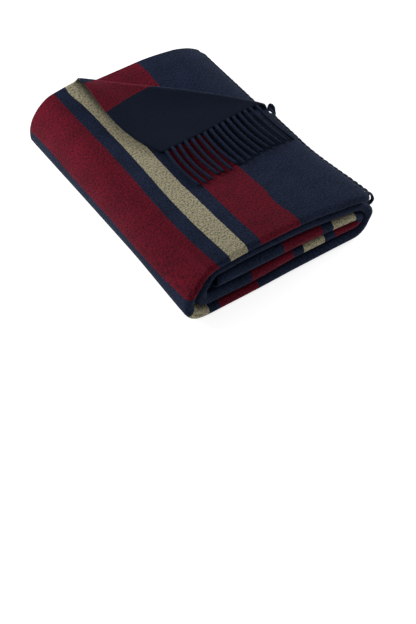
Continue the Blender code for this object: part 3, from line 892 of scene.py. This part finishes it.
# how much the painted highlight lightens the ridge
RIDGE_HIGHLIGHT_SHARE = 0.35
# painted shade under the strands: where it lies, and how much darker it makes the navy and the red
STRAND_SHADE = ((0.205, 0.215), (0.268, 0.286), (0.192, 0.204))   # across twice, then along
STRAND_SHADE_DARKER = (0.95, 0.60)      # under the strands, for the navy and for the red
# painted shadow beside the opened flap: where it lies, how strong it is, and its dark tone
FLAP_SHADOW = ((0.2130, 0.2160), (0.2210, 0.2390), (0.060, 0.150))   # along twice, then across
FLAP_SHADOW_SHARE = 0.90
FLAP_SHADOW_TONE = (0.0060, 0.0060, 0.0045, 1.0)
SHEEN = {"Sheen_Weight": 0.05, "Sheen_Roughness": 0.3, "Sheen_Tint": (0.5, 0.65, 0.9, 1.0),
         "Roughness": 0.95, "Specular_IOR_Level": 0.1}


def felted_wool():
    """Stripes from a ramp on the length, fibres from noise, and a bump from the same noise."""
    finish = Finish("felted striped wool", **SHEEN)
    flat = finish.out(finish.add("ShaderNodeUVMap", {"uv_map": "flat"}))
    parts = finish.add("ShaderNodeSeparateXYZ", None, {0: flat})
    along, across = finish.out(parts, "X"), finish.out(parts, "Y")
    slow, fine = [finish.noise(flat, scale, detail) * move for scale, detail, move in WAVER]
    middle = sum(move for _, _, move in WAVER) / 2
    length = (along + (slow + fine) - middle) * (1.0 / LENGTH)
    stripe = finish.add("ShaderNodeValToRGB", {"stops": stripe_stops()}, {0: length})
    kinds = finish.add("ShaderNodeSeparateColor", None, {0: finish.out(stripe, "Color")})
    fibres = finish.noise(finish.stretched(flat, FIBRE_STRETCH), *FIBRES)
    tufts = finish.noise(flat, *TUFTS)
    cloudy = finish.noise(flat, *CLOUDS)
    grain = fibres * GRAIN_SHARES[0] + tufts * GRAIN_SHARES[1]
    light = finish.ramp(grain + (cloudy - 0.5) * CLOUD_SHARE, *WOOL_RAMP)
    past = CORNER_REACH - (along * CREASE_SIDE[0] + across * CREASE_SIDE[1])
    reverse = finish.ramp(past, *REVERSE)
    # a painted highlight along the crease's ridge, where the roll would catch the light
    ridge_highlight = finish.ramp(past, *RIDGE_HIGHLIGHT[0]) * (1.0 - finish.ramp(past, *RIDGE_HIGHLIGHT[1]))
    # painted shade on the cloth under the strands, where little light reaches
    strand_shade = finish.ramp(across, *STRAND_SHADE[0]) * (1.0 - finish.ramp(across, *STRAND_SHADE[1]))
    strand_shade = strand_shade * (1.0 - finish.ramp(along, *STRAND_SHADE[2]))
    light = light + ridge_highlight * RIDGE_HIGHLIGHT_SHARE
    navy, red = [light * (1.0 - reverse * reverse_share) * (1.0 - strand_shade * shade_share)
                 for reverse_share, shade_share in zip(REVERSE_DARKER, STRAND_SHADE_DARKER)]
    navy = finish.mix(navy, *NAVY_WOOL)
    red = finish.mix(red, *RED_WOOL)
    beige = finish.mix(finish.ramp(grain, *BEIGE_RAMP), *BEIGE_WOOL)
    colour = finish.mix(finish.out(kinds, "Red"), navy, red)
    colour = finish.mix(finish.out(kinds, "Green"), colour, beige)
    # painted shadow on the cloth beside the opened flap, under its raised selvedge
    flap_shadow = finish.ramp(along, *FLAP_SHADOW[0]) * (1.0 - finish.ramp(along, *FLAP_SHADOW[1]))
    flap_shadow = flap_shadow * (1.0 - finish.ramp(across, *FLAP_SHADOW[2])) * FLAP_SHADOW_SHARE
    colour = finish.mix(flap_shadow, colour, FLAP_SHADOW_TONE)
    finish.fill(finish.shader, {"Base Color": colour})
    finish.bump(grain + fibres * FIBRE_BUMP, NAP_DEPTH)
    return finish.material


cloth.data.materials.append(felted_wool())
print(cloth.data.materials[0].name)

# %% [markdown]
# The strands are the same navy wool, but twisted: the fibres wind round the strand.  The
# UV map has the distance along a strand and the share of the way across it, so a pattern
# that is long in a slanting direction follows the twist.  Little light gets in between the
# strands, and a long render would find that, but a darker tone on their sides is surer.
# %% The twisted strands
PLIES = 2.0
PLY_TONE = 0.06                  # share of the plies' wave in the tone
PLY_BUMP = 0.15                  # and in the bump
YARN_FIBRES = (1100.0, 3.0)      # noise scale and detail
YARN_RAMP = (0.36, 0.64)
YARN_DEPTH = 0.0010
SIDE_SHADE = (0.09, 0.24)        # square of the way from a strand's middle, out of 0.25


def twisted_wool():
    """Slanting fibres from noise on the strand's own coordinates, over navy wool."""
    finish = Finish("twisted navy wool", **SHEEN)
    flat = finish.out(finish.add("ShaderNodeUVMap", {"uv_map": "flat"}))
    place_in = finish.out(finish.add("ShaderNodeTexCoord"), "Object")
    parts = finish.add("ShaderNodeSeparateXYZ", None, {0: flat})
    slant = finish.out(parts, "X") * (PLIES / TWIST_LENGTH) - finish.out(parts, "Y")
    wound = finish.out(finish.add("ShaderNodeMath", {"operation": "SINE"},
                                  {0: slant * (2.0 * PLIES * math.pi)}))
    fibres = finish.noise(place_in, *YARN_FIBRES)
    aside = finish.out(parts, "Y") - 0.5
    light = finish.ramp(fibres + wound * PLY_TONE, *YARN_RAMP)
    light = light * (1.0 - finish.ramp(aside * aside, *SIDE_SHADE))
    finish.fill(finish.shader, {"Base Color": finish.mix(light, *NAVY_WOOL)})
    finish.bump(fibres + wound * PLY_BUMP, YARN_DEPTH)
    return finish.material


yarn = twisted_wool()
for strands in (lying, hanging, pressed):
    strands.data.materials.append(yarn)
print(yarn.name)

# %% [markdown]
# The pieces take the places of the model's nodes and ride on its one body.
# %% What each piece stands for
PIECES = (
    (cloth, "blanket_cloth", "striped_wool"),
    (lying, "fringe_outer", "fringe_yarn"),
    (hanging, "fringe_outer", "fringe_yarn"),
    (pressed, "fringe_inner", "fringe_yarn"),
)
for piece, node, slot in PIECES:
    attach(piece, "root")
    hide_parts(node)
print(len(PIECES), "pieces")

# %% [markdown]
# A throw in a catalogue stands on plain white.  The floor is a light table, which glows, so
# its shadow stays faint.  A low lamp behind the spine gives the shape, one further away on
# the fringed side lights the strands, and an even white sky fills the rest.
# %% Floor, lamps and sky
FLOOR_SIZE = 12.0
FLOOR_GLOW = 0.8
FLOOR_TONES = ((0.38, 0.38, 0.38, 1.0), (0.42, 0.42, 0.42, 1.0))
FLOOR_CLOUDS = (0.8, 2.0)        # noise scale and detail
LAMPS = (
    # name, place, size, power
    ("left lamp", (-0.9, 0.975, 0.66), 0.7, 23.0),
    ("right lamp", (1.9, -0.1, 0.8), 0.9, 34.0),
)
SKY_GLOW = 0.38
WHITE = (1.0, 1.0, 1.0, 1.0)


def make_floor():
    """A large flat pale square, just under the stack."""
    half = FLOOR_SIZE / 2
    corners = np.array([(-half, -half, 0.0), (half, -half, 0.0), (half, half, 0.0),
                        (-half, half, 0.0)])
    floor = new_piece("floor", corners, [[0, 1, 2, 3]])
    finish = Finish("pale floor", Roughness=0.9, Specular_IOR_Level=0.1,
                    Emission_Color=WHITE, Emission_Strength=FLOOR_GLOW)
    place_in = finish.out(finish.add("ShaderNodeTexCoord"), "Object")
    clouds = finish.noise(place_in, *FLOOR_CLOUDS)
    finish.fill(finish.shader, {"Base Color": finish.mix(clouds, *FLOOR_TONES)})
    floor.data.materials.append(finish.material)


def make_lamp(name, place_at, size, power):
    """A square soft lamp that faces the middle of the throw."""
    data = bpy.data.lights.new(name, "AREA")
    data.size = size
    data.energy = power
    lamp = bpy.data.objects.new(name, data)
    bpy.context.scene.collection.objects.link(lamp)
    lamp.location = place_at
    lamp.rotation_euler = (-Vector(place_at)).to_track_quat("-Z", "Y").to_euler()


make_floor()
for lamp in LAMPS:
    make_lamp(*lamp)
sky = bpy.data.worlds.new("white sky")
sky.use_nodes = True
sky.node_tree.nodes["Background"].inputs["Color"].default_value = WHITE
sky.node_tree.nodes["Background"].inputs["Strength"].default_value = SKY_GLOW
bpy.context.scene.world = sky
bpy.context.scene.view_settings.view_transform = "Standard"
print("floor,", len(LAMPS), "lamps and a white sky")
